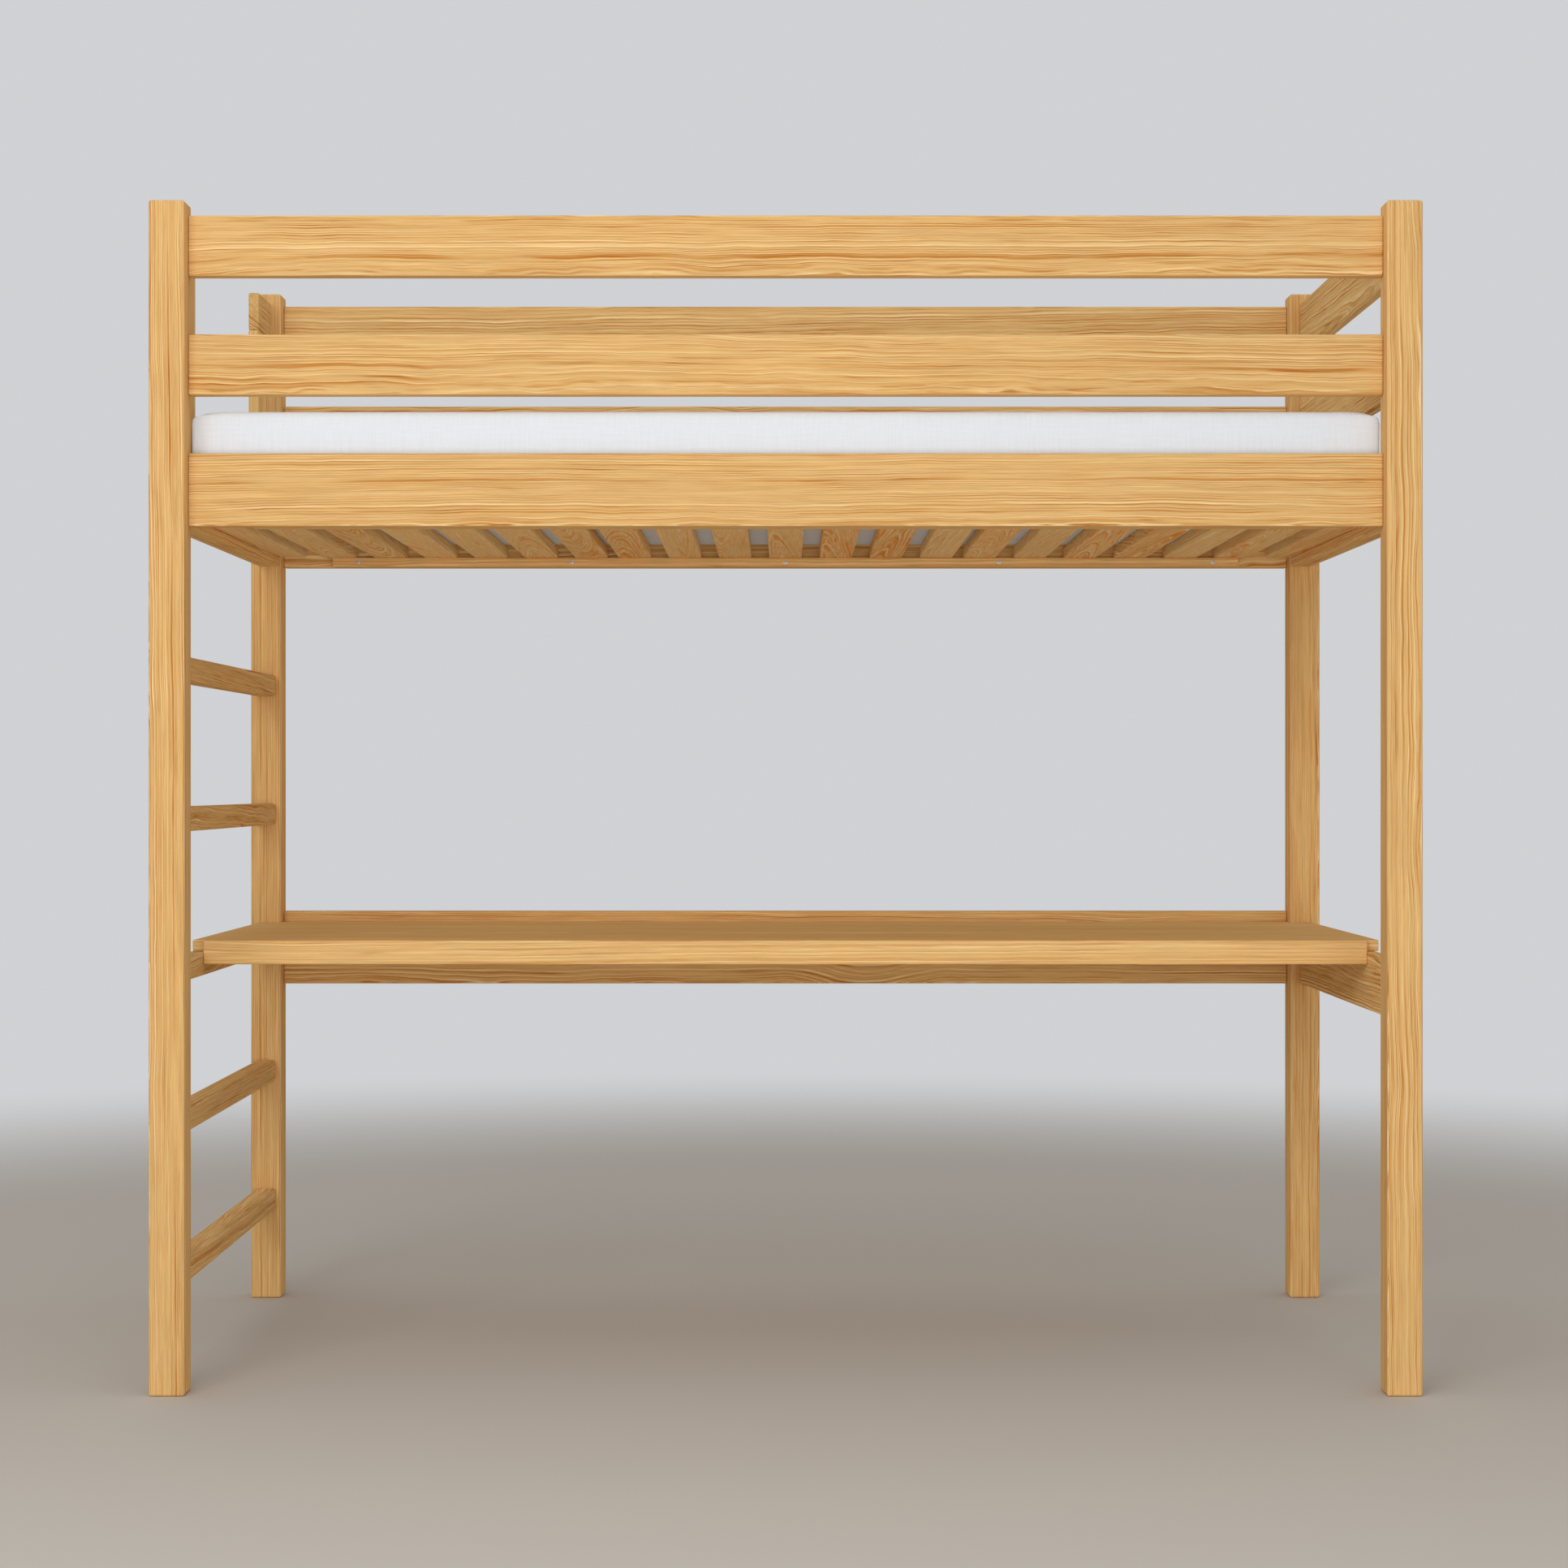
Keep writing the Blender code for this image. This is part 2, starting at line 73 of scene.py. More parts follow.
# ---------------------------------------------------------------- pine: linear colours
PINE_PALE = (0.940, 0.685, 0.350)
PINE_BODY = (0.778, 0.490, 0.192)
PINE_LATE = (0.545, 0.218, 0.042)
PINE_DARK = (0.430, 0.125, 0.016)
SLAT_PALE = (0.950, 0.740, 0.430)
SLAT_BODY = (0.860, 0.610, 0.285)
SLAT_LATE = (0.800, 0.345, 0.080)
SLAT_DARK = (0.700, 0.245, 0.045)
DARK_SHARE = 0.55
BOLDEST_PALE = 1.0
BOLDEST_DARK = 1.2
# Least value and gain of what the colour is multiplied by.
TONE_SHADE = (0.88, 0.24)
FIBRE_SHADE = (0.67, 0.66)
END_GRAIN_SHADE = (1.0, -0.03)
BOARD_SHADES = (0.965, 1.03)
BOARD_RINGS = (0.85, 1.15)
MOST_SEED = 900
END_GRAIN_FACING = (0.75, 0.95)
END_GRAIN_ROUGHNESS = 0.18
FIBRE_ROUGHNESS = 0.10
LATE_RELIEF = 0.5
FIBRE_RELIEF = 0.6
RELIEF_DEPTH = 0.0006
RELIEF_STRENGTH = 0.35

# How the rings bend: features in a metre along the grain and across it, and the share of the board's wander.
BENDS = ((1.4, 6.0, 1.0), (6.5, 17.0, 0.50), (19.0, 60.0, 0.13))
EYE_CELLS = (1.9, 8.0, 8.0)
EYE_REACH = 0.34
EYE_RARITY = (0.45, 0.50)
# How unevenly the rings follow each other, in rings.
DRIFT_PACE = 0.43
DRIFT_REACH = 2.6
# Where the late wood and the thin lines set in and end, as parts of one ring.
LATE_START = (0.46, 0.80)
LATE_END = (0.82, 0.96)
THIN_START = (0.30, 0.62)
THIN_END = (0.66, 0.95)
PALE_END = (0.04, 0.30)
LATE_STRENGTHS = (0.50, 1.0)
THIN_PACE = 2.3
THIN_DRIFT = 2.0
# Noise: features in a metre along the grain and across it, what is added to the seed, and how rough it is.
PATCH_CLOUD = (2.6, 24.0, 0.0, 0.55)
FADE_CLOUD = (4.5, 110.0, 0.0, 0.6)
THIN_CLOUD = (7.0, 130.0, 2.2, 0.6)
GLOW_CLOUD = (4.0, 120.0, 5.3, 0.6)
STREAK_CLOUD = (6.0, 130.0, 3.7, 0.6)
COARSE_CLOUD = (7.0, 300.0, 0.0, 0.6)
FINE_CLOUD = (30.0, 800.0, 0.0, 0.6)
TONE_CLOUD = (0.9, 9.0, 8.1, 0.5)
# The range of noise that counts, and, where there are four numbers, what it is turned into.
PATCH_RANGE = (0.40, 0.56, 0.25, 1.0)
FADE_RANGE = (0.32, 0.60, 0.45, 1.0)
THIN_RANGE = (0.40, 0.62, 0.10, 0.50)
GLOW_RANGE = (0.32, 0.54)
STREAK_RANGE = (0.53, 0.68)
STREAK_LATE = (0.15, 0.60)
PALE_IN_PATCH = 0.6
COARSE_SHARE = 0.62


def link_nodes(tree, kind, inputs=None, **settings):
    """Adds a shader node, with its settings and with its inputs set to values or linked to sockets."""
    made = tree.nodes.new(kind)
    for name, value in settings.items():
        setattr(made, name, value)
    for key, value in (inputs or {}).items():
        if isinstance(value, bpy.types.NodeSocket):
            tree.links.new(value, made.inputs[key])
        else:
            made.inputs[key].default_value = value
    return made


def math_node(tree, operation, first, second=0.0, third=0.0, clamp=False):
    made = link_nodes(tree, "ShaderNodeMath", {0: first, 1: second}, operation=operation, use_clamp=clamp)
    if operation == "MULTIPLY_ADD":
        if isinstance(third, bpy.types.NodeSocket):
            tree.links.new(third, made.inputs[2])
        else:
            made.inputs[2].default_value = third
    return made.outputs[0]


def vector_math(tree, operation, first, second):
    return link_nodes(tree, "ShaderNodeVectorMath", {0: first, 1: second}, operation=operation).outputs[0]


def vector_dot(tree, first, second):
    made = link_nodes(tree, "ShaderNodeVectorMath", {0: first, 1: second}, operation="DOT_PRODUCT")
    return made.outputs["Value"]


def ramp_between(tree, value, low, high, to_low=0.0, to_high=1.0, smooth=True):
    made = link_nodes(
        tree, "ShaderNodeMapRange",
        {"Value": value, "From Min": low, "From Max": high, "To Min": to_low, "To Max": to_high},
        interpolation_type="SMOOTHSTEP" if smooth else "LINEAR",
    )
    return made.outputs["Result"]


def mix_colours(tree, factor, first, second, blend="MIX"):
    made = tree.nodes.new("ShaderNodeMix")
    made.data_type = "RGBA"
    made.blend_type = blend
    for index, value in ((0, factor), (6, first), (7, second)):
        if isinstance(value, bpy.types.NodeSocket):
            tree.links.new(value, made.inputs[index])
        elif index == 0:
            made.inputs[index].default_value = value
        else:
            made.inputs[index].default_value = (*value, 1.0)
    return made.outputs[2]


def stretched_noise(tree, vector, stretch, seed, detail=2.0, roughness=0.5):
    """Noise that is drawn out along the grain. The stretch is how many features fit in a metre on each axis."""
    scaled = link_nodes(tree, "ShaderNodeVectorMath", {0: vector, 1: stretch}, operation="MULTIPLY").outputs[0]
    return link_nodes(
        tree, "ShaderNodeTexNoise",
        {"Vector": scaled, "W": seed, "Scale": 1.0, "Detail": detail, "Roughness": roughness},
        noise_dimensions="4D",
    )


def add_group_input(group, name, kind, value=None):
    made = group.interface.new_socket(name=name, in_out="INPUT", socket_type=kind)
    if value is not None:
        made.default_value = value


def grain_cloud(group, place, seed, cloud):
    """Noise that is drawn out along the grain, from its features in a metre, its offset and its roughness."""
    along, across, offset, roughness = cloud
    if offset:
        seed = math_node(group, "ADD", seed, offset)
    return stretched_noise(group, place, (along, across, across), seed, 2.0, roughness).outputs["Fac"]


def push_aside(group, vector, place, stretch, seed, reach):
    """Moves a point sideways by up to half the reach, by noise, so that the rings bend there."""
    cloud = stretched_noise(group, place, stretch, seed, 1.5, 0.5).outputs["Color"]
    centred = vector_math(group, "SUBTRACT", cloud, (0.5, 0.5, 0.5))
    shift = link_nodes(group, "ShaderNodeVectorMath", {0: centred, "Scale": reach}, operation="SCALE").outputs[0]
    return vector_math(group, "ADD", vector, shift)


def eye_swirl(group, vector, seed):
    """How close a point is to one of the rare places where the rings close round a small eye."""
    shifted = vector_math(group, "ADD", vector, link_nodes(group, "ShaderNodeCombineXYZ", {0: seed}).outputs[0])
    cells = link_nodes(
        group, "ShaderNodeTexVoronoi",
        {"Vector": vector_math(group, "MULTIPLY", shifted, EYE_CELLS), "Scale": 1.0},
        voronoi_dimensions="3D",
    ).outputs
    rarity = link_nodes(group, "ShaderNodeSeparateColor", {0: cells["Color"]}).outputs[0]
    near = ramp_between(group, cells["Distance"], 0.0, EYE_REACH, 1.0, 0.0)
    return math_node(group, "MULTIPLY", near, ramp_between(group, rarity, *EYE_RARITY))


def band(group, part, start, end):
    """1 between where a line sets in and where it ends, and 0 outside."""
    return math_node(group, "MULTIPLY", ramp_between(group, part, *start), ramp_between(group, part, *end, 1.0, 0.0))


def make_grain_group():
    """Year rings round a pith that runs along X, seen where the board's faces cut through them."""
    group = bpy.data.node_groups.new("pine_grain", "ShaderNodeTree")
    add_group_input(group, "Vector", "NodeSocketVector")
    for name, value in (("Seed", 0.0), ("Ring", 0.005), ("Wander", 0.010), ("Swirl", 0.010)):
        add_group_input(group, name, "NodeSocketFloat", value)
    for name in ("Late", "Pale", "Dark", "Fibre", "Tone"):
        group.interface.new_socket(name=name, in_out="OUTPUT", socket_type="NodeSocketFloat")
    given = group.nodes.new("NodeGroupInput").outputs
    vector, seed, ring, wander, swirl = (given[name] for name in ("Vector", "Seed", "Ring", "Wander", "Swirl"))

    bent = vector
    for along, across, share in BENDS:
        reach = math_node(group, "MULTIPLY", wander, share)
        bent = push_aside(group, bent, vector, (along, across, across), seed, reach)

    from_pith = vector_math(group, "MULTIPLY", bent, (0.0, 1.0, 1.0))
    radius = link_nodes(group, "ShaderNodeVectorMath", {0: from_pith}, operation="LENGTH").outputs["Value"]
    radius = math_node(group, "MULTIPLY_ADD", eye_swirl(group, bent, seed), swirl, radius)
    even = math_node(group, "DIVIDE", radius, ring)
    drift = link_nodes(
        group, "ShaderNodeTexNoise",
        {"W": math_node(group, "MULTIPLY_ADD", even, DRIFT_PACE, seed), "Scale": 1.0, "Detail": 2.0},
        noise_dimensions="1D",
    ).outputs["Fac"]
    phase = math_node(group, "MULTIPLY_ADD", drift, DRIFT_REACH, even)
    part = math_node(group, "FRACT", phase)
    number = math_node(group, "SUBTRACT", phase, part)
    strength = link_nodes(
        group, "ShaderNodeTexWhiteNoise", {"W": math_node(group, "ADD", number, seed)}, noise_dimensions="1D"
    ).outputs["Value"]
    strength = ramp_between(group, strength, 0.0, 1.0, *LATE_STRENGTHS, smooth=False)
    patch = ramp_between(group, grain_cloud(group, bent, seed, PATCH_CLOUD), *PATCH_RANGE)
    fade = ramp_between(group, grain_cloud(group, bent, seed, FADE_CLOUD), *FADE_RANGE)
    late = band(group, part, LATE_START, LATE_END)
    for factor in (strength, fade, patch):
        late = math_node(group, "MULTIPLY", late, factor)

    thin_phase = math_node(group, "MULTIPLY", phase, THIN_PACE)
    thin_phase = math_node(group, "MULTIPLY_ADD", drift, THIN_DRIFT, thin_phase)
    thin = band(group, math_node(group, "FRACT", thin_phase), THIN_START, THIN_END)
    thin_fade = ramp_between(group, grain_cloud(group, bent, seed, THIN_CLOUD), *THIN_RANGE)
    late = math_node(group, "MAXIMUM", late, math_node(group, "MULTIPLY", thin, thin_fade))

    glow = ramp_between(group, grain_cloud(group, bent, seed, GLOW_CLOUD), *GLOW_RANGE)
    pale = math_node(group, "MULTIPLY", ramp_between(group, part, *PALE_END, 1.0, 0.0), glow)
    in_patch = math_node(group, "MULTIPLY_ADD", patch, PALE_IN_PATCH, 1 - PALE_IN_PATCH)
    pale = math_node(group, "MULTIPLY", pale, in_patch)
    streak = ramp_between(group, grain_cloud(group, bent, seed, STREAK_CLOUD), *STREAK_RANGE)
    dark = math_node(group, "MULTIPLY", streak, ramp_between(group, late, *STREAK_LATE))

    coarse = grain_cloud(group, bent, seed, COARSE_CLOUD)
    fine = math_node(group, "MULTIPLY", grain_cloud(group, bent, seed, FINE_CLOUD), 1 - COARSE_SHARE)
    fibre = math_node(group, "MULTIPLY_ADD", coarse, COARSE_SHARE, fine)
    tone = grain_cloud(group, bent, seed, TONE_CLOUD)

    result = group.nodes.new("NodeGroupOutput").inputs
    for name, socket in (("Late", late), ("Pale", pale), ("Dark", dark), ("Fibre", fibre), ("Tone", tone)):
        group.links.new(socket, result[name])
    return group


GRAIN = make_grain_group()
GRAIN_TURN = {"X": (0.0, 0.0, 0.0), "Y": (0.0, 0.0, -pi / 2), "Z": (0.0, pi / 2, 0.0)}
GRAIN_AXIS = {"X": (1.0, 0.0, 0.0), "Y": (0.0, 1.0, 0.0), "Z": (0.0, 0.0, 1.0)}


class Wood(NamedTuple):
    """How one kind of board is cut. Lengths in metres, angles in degrees, pairs from low to high.

    The pith is that far from the board's middle, in a direction of heading plus some number of turns. The rings lean
    by up to the tilt, and bold says how strong the late wood is.
    """

    starts: tuple
    axis: str
    ring: float
    wander: float
    swirl: float
    pith: tuple
    heading: tuple
    tilt: float
    bold: tuple
    roughness: float
    colours: tuple = (PINE_PALE, PINE_BODY, PINE_LATE, PINE_DARK)
    turns: int = 90


def make_pine(name, wood, centre, chance):
    """Matt pine for one board. Its grain runs along the axis, round a pith that is off to one side."""
    material = bpy.data.materials.new(name)
    material.use_nodes = True
    tree = material.node_tree
    shader = tree.nodes["Principled BSDF"]
    pale_colour, body_colour, late_colour, dark_colour = wood.colours

    place = link_nodes(tree, "ShaderNodeTexCoord").outputs
    turn = GRAIN_TURN[wood.axis]
    turned = Matrix.Rotation(turn[2], 4, "Z") @ Matrix.Rotation(turn[1], 4, "Y")
    along_board = link_nodes(
        tree, "ShaderNodeMapping", {"Vector": place["Object"], "Rotation": turn, "Location": -(turned @ centre)}
    ).outputs[0]
    heading = radians(chance.uniform(*wood.heading) + wood.turns * chance.choice((0, 1, 2, 3)))
    distance = chance.uniform(*wood.pith)
    lean = [radians(chance.uniform(-wood.tilt, wood.tilt)) for _ in range(2)]
    from_pith = link_nodes(
        tree, "ShaderNodeMapping",
        {
            "Vector": along_board,
            "Rotation": (0.0, lean[0], lean[1]),
            "Location": (0.0, distance * cos(heading), distance * sin(heading)),
        },
    ).outputs[0]
    group = tree.nodes.new("ShaderNodeGroup")
    group.node_tree = GRAIN
    tree.links.new(from_pith, group.inputs["Vector"])
    group.inputs["Seed"].default_value = chance.uniform(0, MOST_SEED)
    group.inputs["Ring"].default_value = wood.ring * chance.uniform(*BOARD_RINGS)
    group.inputs["Wander"].default_value = wood.wander
    group.inputs["Swirl"].default_value = wood.swirl
    grain = group.outputs

    facing = vector_dot(tree, place["Normal"], GRAIN_AXIS[wood.axis])
    end_grain = ramp_between(tree, math_node(tree, "ABSOLUTE", facing), *END_GRAIN_FACING)

    bold = chance.uniform(*wood.bold)
    late = math_node(tree, "MULTIPLY", grain["Late"], bold, clamp=True)
    pale = math_node(tree, "MULTIPLY", grain["Pale"], min(bold, BOLDEST_PALE))
    dark = math_node(tree, "MULTIPLY", grain["Dark"], DARK_SHARE * min(bold, BOLDEST_DARK))
    colour = mix_colours(tree, pale, body_colour, pale_colour)
    colour = mix_colours(tree, late, colour, late_colour)
    colour = mix_colours(tree, dark, colour, dark_colour)
    shade = 1.0
    for value, (least, gain) in (
        (grain["Tone"], TONE_SHADE), (grain["Fibre"], FIBRE_SHADE), (end_grain, END_GRAIN_SHADE)
    ):
        shade = math_node(tree, "MULTIPLY", shade, math_node(tree, "MULTIPLY_ADD", value, gain, least))
    shade = math_node(tree, "MULTIPLY", shade, chance.uniform(*BOARD_SHADES))
    colour = mix_colours(tree, 1.0, colour, shade, "MULTIPLY")
    tree.links.new(colour, shader.inputs["Base Color"])

    rough = math_node(tree, "MULTIPLY_ADD", grain["Fibre"], FIBRE_ROUGHNESS, wood.roughness - FIBRE_ROUGHNESS / 2)
    rough = math_node(tree, "MULTIPLY_ADD", end_grain, END_GRAIN_ROUGHNESS, rough)
    tree.links.new(rough, shader.inputs["Roughness"])
    relief = math_node(tree, "MULTIPLY", grain["Fibre"], FIBRE_RELIEF)
    relief = math_node(tree, "MULTIPLY_ADD", late, LATE_RELIEF, relief)
    bump = link_nodes(
        tree, "ShaderNodeBump", {"Height": relief, "Distance": RELIEF_DEPTH, "Strength": RELIEF_STRENGTH}
    ).outputs[0]
    tree.links.new(bump, shader.inputs["Normal"])
    shader.inputs["Specular IOR Level"].default_value = 0.0
    return material


# The first wood with a matching start is used, so the cleats, whose names start like a slat's, come before the slats.
WOODS = (
    Wood(
        starts=("post_",), axis="Z", ring=0.0031, wander=0.013, swirl=0.004, pith=(0.050, 0.080),
        heading=(32, 58), tilt=0.30, bold=(1.25, 1.5), roughness=0.55,
    ),
    Wood(
        starts=("grab_post_",), axis="Z", ring=0.0042, wander=0.008, swirl=0.0, pith=(0.06, 0.10),
        heading=(32, 58), tilt=0.5, bold=(0.9, 1.1), roughness=0.50,
    ),
    Wood(
        starts=("slat_cleat_left", "slat_cleat_right"), axis="Y", ring=0.0042, wander=0.010, swirl=0.0,
        pith=(0.06, 0.10), heading=(30, 60), tilt=0.6, bold=(0.9, 1.1), roughness=0.52,
    ),
    Wood(
        starts=("slat_cleat_front", "slat_cleat_back"), axis="X", ring=0.0042, wander=0.010, swirl=0.0,
        pith=(0.06, 0.10), heading=(30, 60), tilt=0.4, bold=(0.9, 1.1), roughness=0.52,
    ),
    Wood(
        starts=("slat_",), axis="Y", ring=0.0036, wander=0.007, swirl=0.0, pith=(0.02, 0.06),
        heading=(50, 130), tilt=2.6, bold=(0.4, 3.2), roughness=0.55,
        colours=(SLAT_PALE, SLAT_BODY, SLAT_LATE, SLAT_DARK), turns=180,
    ),
    Wood(
        starts=("desktop", "desk_front_edge"), axis="X", ring=0.0048, wander=0.010, swirl=0.006,
        pith=(0.09, 0.15), heading=(35, 55), tilt=0.3, bold=(0.6, 0.8), roughness=0.46,
    ),
    Wood(
        starts=("grab_rail_", "right_", "left_", "ladder_"), axis="Y", ring=0.0042, wander=0.013, swirl=0.010,
        pith=(0.06, 0.11), heading=(30, 60), tilt=1.2, bold=(1.1, 1.35), roughness=0.55,
    ),
    Wood(
        starts=("front_", "back_"), axis="X", ring=0.0034, wander=0.015, swirl=0.014, pith=(0.085, 0.125),
        heading=(38, 62), tilt=0.5, bold=(1.2, 1.45), roughness=0.55,
    ),
)
FIRST_SEED = 1000


def paint_boards():
    """Gives each board its own pine. The seed follows the sorted names, so each run draws the same boards."""
    for number, name in enumerate(sorted(NODES)):
        if name == "mattress" or "_bolt_" in name:
            continue
        wood = next(wood for wood in WOODS if name.startswith(wood.starts))
        low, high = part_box(name)
        material = make_pine("pine_" + name, wood, (low + high) / 2, Random(FIRST_SEED + number))
        for slot in NODES[name].material_slots:
            slot.material = material


# ---------------------------------------------------------------- steel
STEEL_DARK = (0.44, 0.45, 0.47)
STEEL_LIGHT = (0.60, 0.61, 0.62)
STEEL_GRAIN = 260.0
STEEL_ROUGHNESS = (0.38, 0.52)


def make_steel():
    material = bpy.data.materials.new("zinc_steel")
    material.use_nodes = True
    tree = material.node_tree
    shader = tree.nodes["Principled BSDF"]
    place = link_nodes(tree, "ShaderNodeTexCoord").outputs["Object"]
    cloud = stretched_noise(tree, place, (STEEL_GRAIN,) * 3, 5.0, 3.0, 0.6).outputs["Fac"]
    colour = mix_colours(tree, cloud, STEEL_DARK, STEEL_LIGHT)
    tree.links.new(colour, shader.inputs["Base Color"])
    tree.links.new(ramp_between(tree, cloud, 0.3, 0.7, *STEEL_ROUGHNESS), shader.inputs["Roughness"])
    shader.inputs["Metallic"].default_value = 1.0
    return material


STEEL = make_steel()


# ---------------------------------------------------------------- bolts and screws, with their axis along +X
BOLT_HEAD_RADIUS = 0.0065
BOLT_HEAD_HEIGHT = 0.005
BOLT_RADIUS = 0.003
BOLT_SHANK = 0.092
SOCKET_APOTHEM = 0.0021
SOCKET_DEPTH = 0.003
NUT_RADIUS = 0.0049
NUT_HALF = 0.0079
NUT_FROM_TIP = 0.009
NUT_SLOT = (0.0012, 0.0018)
SCREW_RADIUS = 0.0042
SCREW_DOME = 0.0006
SCREW_FROM_END = 0.051
SCREW_SINK = 0.0030
RECESS_DEPTH = 0.0022
CROSS_ARM = (0.0027, 0.0008)
SOFT_EDGE = 0.0008
SMALL_EDGE = 0.0003
TIP = 0.0002
ROUND_SIDES = 32
SCREW_SIDES = 64
SIDE_SCREWS = 5


def hexagon(turn):
    """How far the wall of the socket is from the axis."""
    return SOCKET_APOTHEM / cos((turn + pi / 6) % (pi / 3) - pi / 6)


def cross(turn):
    """How far the wall of the cross recess is from the axis."""
    length, half_width = CROSS_ARM
    off_axis = abs((turn + pi / 4) % (pi / 2) - pi / 4)
    return min(length / cos(off_axis), half_width / max(sin(off_axis), 1e-6))


def turned_shape(bm, rings, sides=ROUND_SIDES):
    """A closed shape of rings round the X axis. A ring is its place on the axis and its radius, or an outline."""
    loops = []
    for x, radius in rings:
        loop = []
        for step in range(sides):
            turn = 2 * pi * step / sides
            reach = radius(turn) if callable(radius) else radius
            loop.append(bm.verts.new((x, reach * cos(turn), reach * sin(turn))))
        loops.append(loop)
    for first, second in zip(loops, loops[1:]):
        for step in range(sides):
            after = (step + 1) % sides
            bm.faces.new((first[step], first[after], second[after], second[step]))
    bm.faces.new(list(reversed(loops[0])))
    bm.faces.new(loops[-1])


def mesh_of(name, bm):
    bmesh.ops.recalc_face_normals(bm, faces=bm.faces)
    mesh = bpy.data.meshes.new(name)
    bm.to_mesh(mesh)
    bm.free()
    mesh.materials.append(STEEL)
    mesh.shade_smooth()
    mesh.set_sharp_from_angle(angle=radians(32))
    return mesh


def make_bolt_mesh():
    """A socket-head furniture bolt, seated at the origin, with the cross dowel that it screws into."""
    bm = bmesh.new()
    soft = SOFT_EDGE
    head, floor = BOLT_HEAD_HEIGHT, BOLT_HEAD_HEIGHT - SOCKET_DEPTH
    turned_shape(bm, (
        (-BOLT_SHANK, BOLT_RADIUS - soft), (-BOLT_SHANK + soft, BOLT_RADIUS), (-soft / 2, BOLT_RADIUS),
        (0.0, BOLT_RADIUS + soft / 2), (0.0, BOLT_HEAD_RADIUS - SMALL_EDGE), (SMALL_EDGE, BOLT_HEAD_RADIUS),
        (head - soft, BOLT_HEAD_RADIUS), (head - soft / 4, BOLT_HEAD_RADIUS - soft / 2),
        (head, BOLT_HEAD_RADIUS - 1.6 * soft), (head, lambda turn: hexagon(turn) + SMALL_EDGE),
        (head - SMALL_EDGE, hexagon), (floor, hexagon), (floor - soft, TIP),
    ))
    nut = bmesh.new()
    turned_shape(nut, (
        (-NUT_HALF, NUT_RADIUS - soft), (-NUT_HALF + soft, NUT_RADIUS), (NUT_HALF - soft, NUT_RADIUS),
        (NUT_HALF, NUT_RADIUS - soft),
    ))
    slot = bmesh.new()
    width, depth = NUT_SLOT
    size = Matrix.Diagonal((2 * depth, 3 * NUT_RADIUS, width, 1))
    bmesh.ops.create_cube(slot, size=1.0, matrix=Matrix.Translation((NUT_HALF, 0, 0)) @ size)
    helpers = []
    for name, shape in (("nut", nut), ("slot", slot)):
        helpers.append(bpy.data.objects.new(name, mesh_of(name, shape)))
        bpy.context.scene.collection.objects.link(helpers[-1])
    piece, cutter = helpers
    cut = piece.modifiers.new("slot", "BOOLEAN")
    cut.operation = "DIFFERENCE"
    cut.object = cutter
    graph = bpy.context.evaluated_depsgraph_get()
    made = piece.evaluated_get(graph).to_mesh()
    made.transform(Matrix.Translation((NUT_FROM_TIP - BOLT_SHANK, 0, 0)) @ Matrix.Rotation(pi / 2, 4, "Z"))
    bm.from_mesh(made)
    for helper in helpers:
        bpy.data.objects.remove(helper, do_unlink=True)
    return mesh_of("furniture_bolt", bm)


def make_screw_mesh():
    """The head of a screw, sunk flush, with a cross recess. Its axis points out of the wood."""
    bm = bmesh.new()
    turned_shape(bm, (
        (-SCREW_SINK, SCREW_SINK), (0.0, SCREW_RADIUS - SMALL_EDGE), (TIP, SCREW_RADIUS),
        (2 * TIP, SCREW_RADIUS - TIP), (0.75 * SCREW_DOME, 0.75 * SCREW_RADIUS),
        (SCREW_DOME, lambda turn: cross(turn) + SMALL_EDGE), (SCREW_DOME - SMALL_EDGE, cross),
        (-RECESS_DEPTH, lambda turn: 0.75 * cross(turn)), (-RECESS_DEPTH - TIP, TIP),
    ), SCREW_SIDES)
    return mesh_of("screw_head", bm)


def place_steel(name, mesh, place, turn):
    piece = bpy.data.objects.new(name, mesh.copy())
    piece.location = place
    piece.rotation_euler = (0, 0, turn)
    bpy.context.scene.collection.objects.link(piece)
    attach(piece, "frame")
    return piece


def make_bolts():
    """One bolt in each end of the seven long rails. Three rails have CAD bolts, which the finer ones stand for."""
    mesh = make_bolt_mesh()
    for side, word in ((-1, "left"), (1, "right")):
        low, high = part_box(f"back_side_rail_bolt_{word}")
        seat = (high.x if side > 0 else low.x) - side * BOLT_HEAD_HEIGHT
        for rail in sorted(NODES):
            if not rail.endswith("_rail") or rail.startswith(("left_", "right_")) or "grab" in rail:
                continue
            low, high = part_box(rail)
            place = (seat, (low.y + high.y) / 2, (low.z + high.z) / 2)
            bolt = place_steel(f"furniture_bolt_{rail}_{word}", mesh, place, 0 if side > 0 else pi)
            if f"{rail}_bolt_{word}" in NODES:
                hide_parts(f"{rail}_bolt_{word}")


def make_screws():
    """Screws hold the cleats to the side rails and to the end rails."""
    mesh = make_screw_mesh()
    for row, turn in (("front", pi / 2), ("back", -pi / 2)):
        low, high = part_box("slat_cleat_" + row)
        face = high.y if row == "front" else low.y
        first, last = low.x + SCREW_FROM_END, high.x - SCREW_FROM_END
        for number in range(SIDE_SCREWS):
            place = (first + (last - first) * number / (SIDE_SCREWS - 1), face, (low.z + high.z) / 2)
            place_steel(f"cleat_screw_{row}_{number + 1}", mesh, place, turn)
    for side, turn in (("left", 0), ("right", pi)):
        low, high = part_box("slat_cleat_" + side)
        face = high.x if side == "left" else low.x
        for number, y in enumerate((low.y + SCREW_FROM_END, high.y - SCREW_FROM_END)):
            place_steel(f"cleat_screw_{side}_{number + 1}", mesh, (face, y, (low.z + high.z) / 2), turn)


